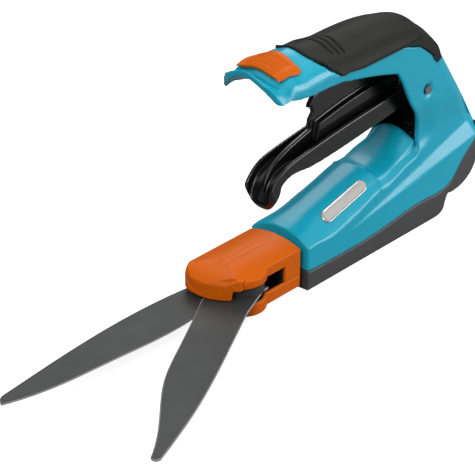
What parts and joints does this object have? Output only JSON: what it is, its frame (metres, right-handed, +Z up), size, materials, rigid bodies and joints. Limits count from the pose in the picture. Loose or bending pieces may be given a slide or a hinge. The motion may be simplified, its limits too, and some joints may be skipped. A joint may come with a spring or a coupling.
{
  "type": "grass shears",
  "caption": "One-handed grass shears: C-shaped grip housing, squeeze lever with thumb lock, and a swivelling head whose cam slide closes a pivoting blade on a fixed one.",
  "frame": {"origin": "middle of the base's flat resting face", "axes": "+X forward along the blades, +Y to the side the open blade swings to, +Z up"},
  "size_m": [0.3484, 0.1043, 0.1324],
  "materials": {
    "turquoise_shell": "smooth gloss",
    "grey_shell": "fine grained",
    "soft_grip": "matte, soft",
    "black_gloss": "gloss",
    "black_plastic": "satin",
    "orange_plastic": "satin",
    "badge_metal": "brushed",
    "blade_steel": "dark non-stick coating, ground edges",
    "steel": "zinc plated",
    "spring_steel": "drawn wire",
    "bush_plastic": "natural"
  },
  "bodies": {
    "housing": {"housing": "turquoise_shell", "base_cover": "grey_shell", "grip_pad": "soft_grip", "badge_plate": "badge_metal", "lever_pin": "steel", "base_screws": "steel", "swivel_bush": "bush_plastic", "rod_guide": "bush_plastic", "return_spring": "spring_steel", "detent_ball": "steel", "detent_spring": "spring_steel"},
    "lever": {"lever": "black_gloss", "lever_rod_pin": "steel"},
    "drive_rod": {"drive_rod": "steel", "rod_fork": "black_plastic", "spring_collar": "steel"},
    "lock": {"lock_slider": "orange_plastic", "lock_catch": "black_plastic", "lock_screw": "steel"},
    "head": {"head_upper_cover": "orange_plastic", "head_lower_cover": "orange_plastic", "swivel_neck": "steel", "swivel_retainer": "spring_steel", "lower_blade": "blade_steel", "blade_bolt": "steel", "blade_washer": "steel", "blade_nut": "steel", "lower_blade_screw": "steel", "head_screws": "steel"},
    "cam_slide": {"cam_slide": "black_plastic"},
    "upper_blade": {"upper_blade": "blade_steel", "blade_hub": "black_plastic", "drive_pin": "steel"}
  },
  "joints": [
    {"name": "lever_squeeze", "type": "hinge", "parent": "housing", "child": "lever", "pos_m": [-0.0435, 0, 0.0817], "axis": [0, -1, 0], "range_deg": [0, 16], "deforming": ["return_spring"]},
    {"name": "rod_slide", "type": "slide", "parent": "housing", "child": "drive_rod", "axis": [1, 0, 0], "range_m": [0, 0.01002]},
    {"name": "head_swivel", "type": "hinge", "parent": "housing", "child": "head", "pos_m": [0.056, 0, 0.014], "axis": [1, 0, 0], "continuous": true},
    {"name": "cam_travel", "type": "slide", "parent": "head", "child": "cam_slide", "axis": [1, 0, 0], "range_m": [0, 0.01002]},
    {"name": "blade_swing", "type": "hinge", "parent": "head", "child": "upper_blade", "pos_m": [0.0945, 0.008, 0.013], "axis": [0, 0, -1], "range_deg": [0, 31]},
    {"name": "lock_travel", "type": "slide", "parent": "housing", "child": "lock", "axis": [-1, 0, 0], "range_m": [0, 0.005]}
  ],
  "couplings": [
    {"joint": "rod_slide", "follows": "lever_squeeze", "m_per_rad": 0.035883},
    {"joint": "cam_travel", "follows": "lever_squeeze", "m_per_rad": 0.035883},
    {"joint": "blade_swing", "follows": "lever_squeeze", "ratio": 1.9375}
  ]
}
